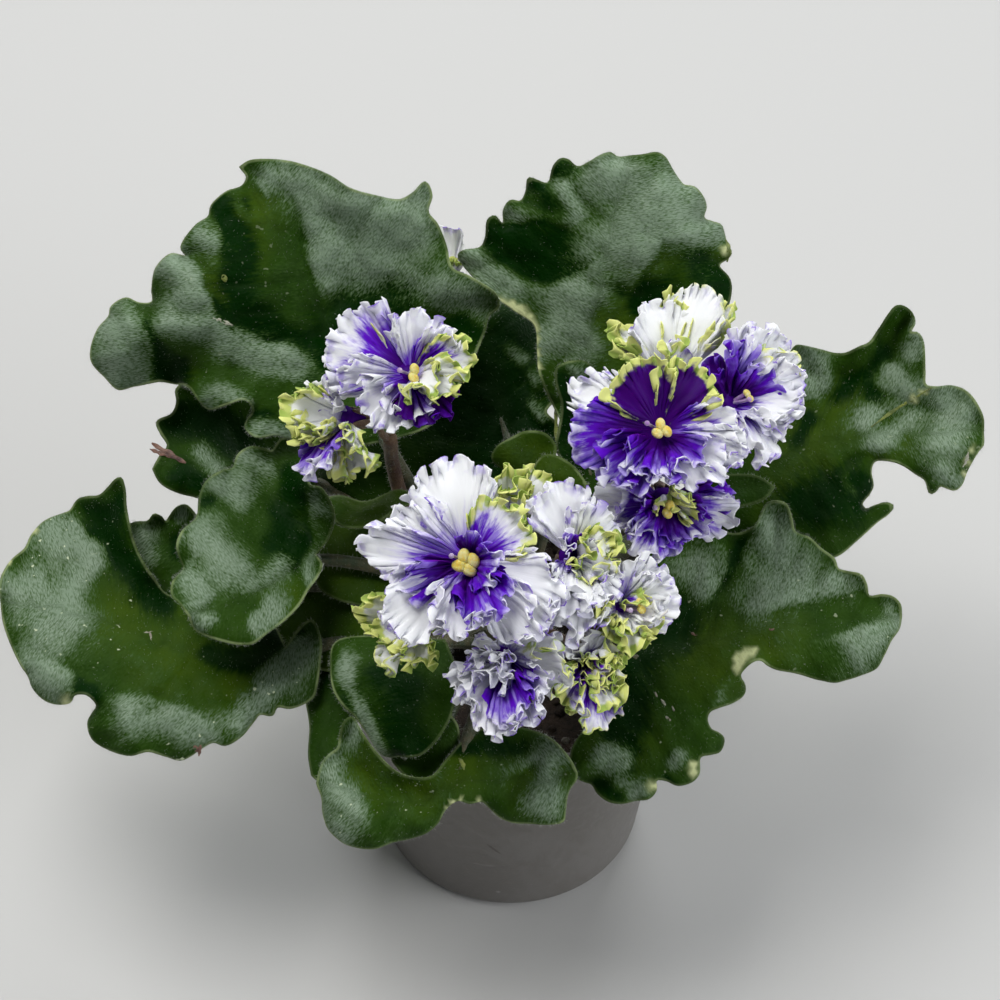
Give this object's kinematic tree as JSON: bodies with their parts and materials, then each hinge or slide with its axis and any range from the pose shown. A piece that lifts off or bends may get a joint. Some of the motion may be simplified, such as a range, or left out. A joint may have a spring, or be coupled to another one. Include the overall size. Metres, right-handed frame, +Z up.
{
  "type": "potted african violet",
  "caption": "Frilled african violet with broad hairy leaves and clusters of double white and violet blooms, in a round tapered plastic pot.",
  "frame": {"origin": "centre of the pot's underside", "axes": "+Z up along the pot's axis, -Y towards the side the picture was taken from, +X to that observer's right"},
  "size_m": [0.2561, 0.1644, 0.1641],
  "materials": {
    "pot": "matte",
    "soil": "rough",
    "crown": "rough",
    "leaf": "hairy",
    "young_leaf": "hairy",
    "petal": "frilled",
    "anther": "soft",
    "stalk": "hairy"
  },
  "bodies": {
    "root": {"pot": "pot", "soil": "soil", "crown": "crown", "leaf_back_left": "leaf", "leaf_back": "leaf", "leaf_front_left": "leaf", "leaf_front_right": "leaf", "leaf_right": "leaf", "leaf_front": "leaf", "leaf_left": "leaf", "leaf_left_low": "leaf", "leaf_back_left_low": "leaf", "leaf_inner_front": "leaf", "leaf_front_low": "leaf", "leaf_front_left_small": "leaf", "leaf_inner_back": "leaf", "leaf_inner_back_right": "leaf", "leaf_right_small": "leaf", "leaf_inner_left": "young_leaf", "leaf_inner_left_edge": "young_leaf", "leaf_inner_left_low": "young_leaf", "leaf_young_back": "young_leaf", "leaf_young_right": "young_leaf", "flower_stalk_front": "stalk", "flower_stalk_right": "stalk", "flower_stalk_left": "stalk", "flower_stalk_behind": "stalk", "anthers_front_main": "anther", "bloom_front_main": "petal", "bloom_front_left_low": "petal", "bloom_front_top": "petal", "bloom_front_right_top": "petal", "bloom_front_bottom": "petal", "bloom_front_right_low": "petal", "anthers_front_right": "anther", "bloom_front_right": "petal", "anthers_right_main": "anther", "bloom_right_main": "petal", "bloom_right_top": "petal", "anthers_right_side": "anther", "bloom_right_side": "petal", "anthers_right_low": "anther", "bloom_right_low": "petal", "anthers_left_main": "anther", "bloom_left_main": "petal", "bloom_left_low": "petal", "bloom_behind": "petal"}
  },
  "joints": []
}
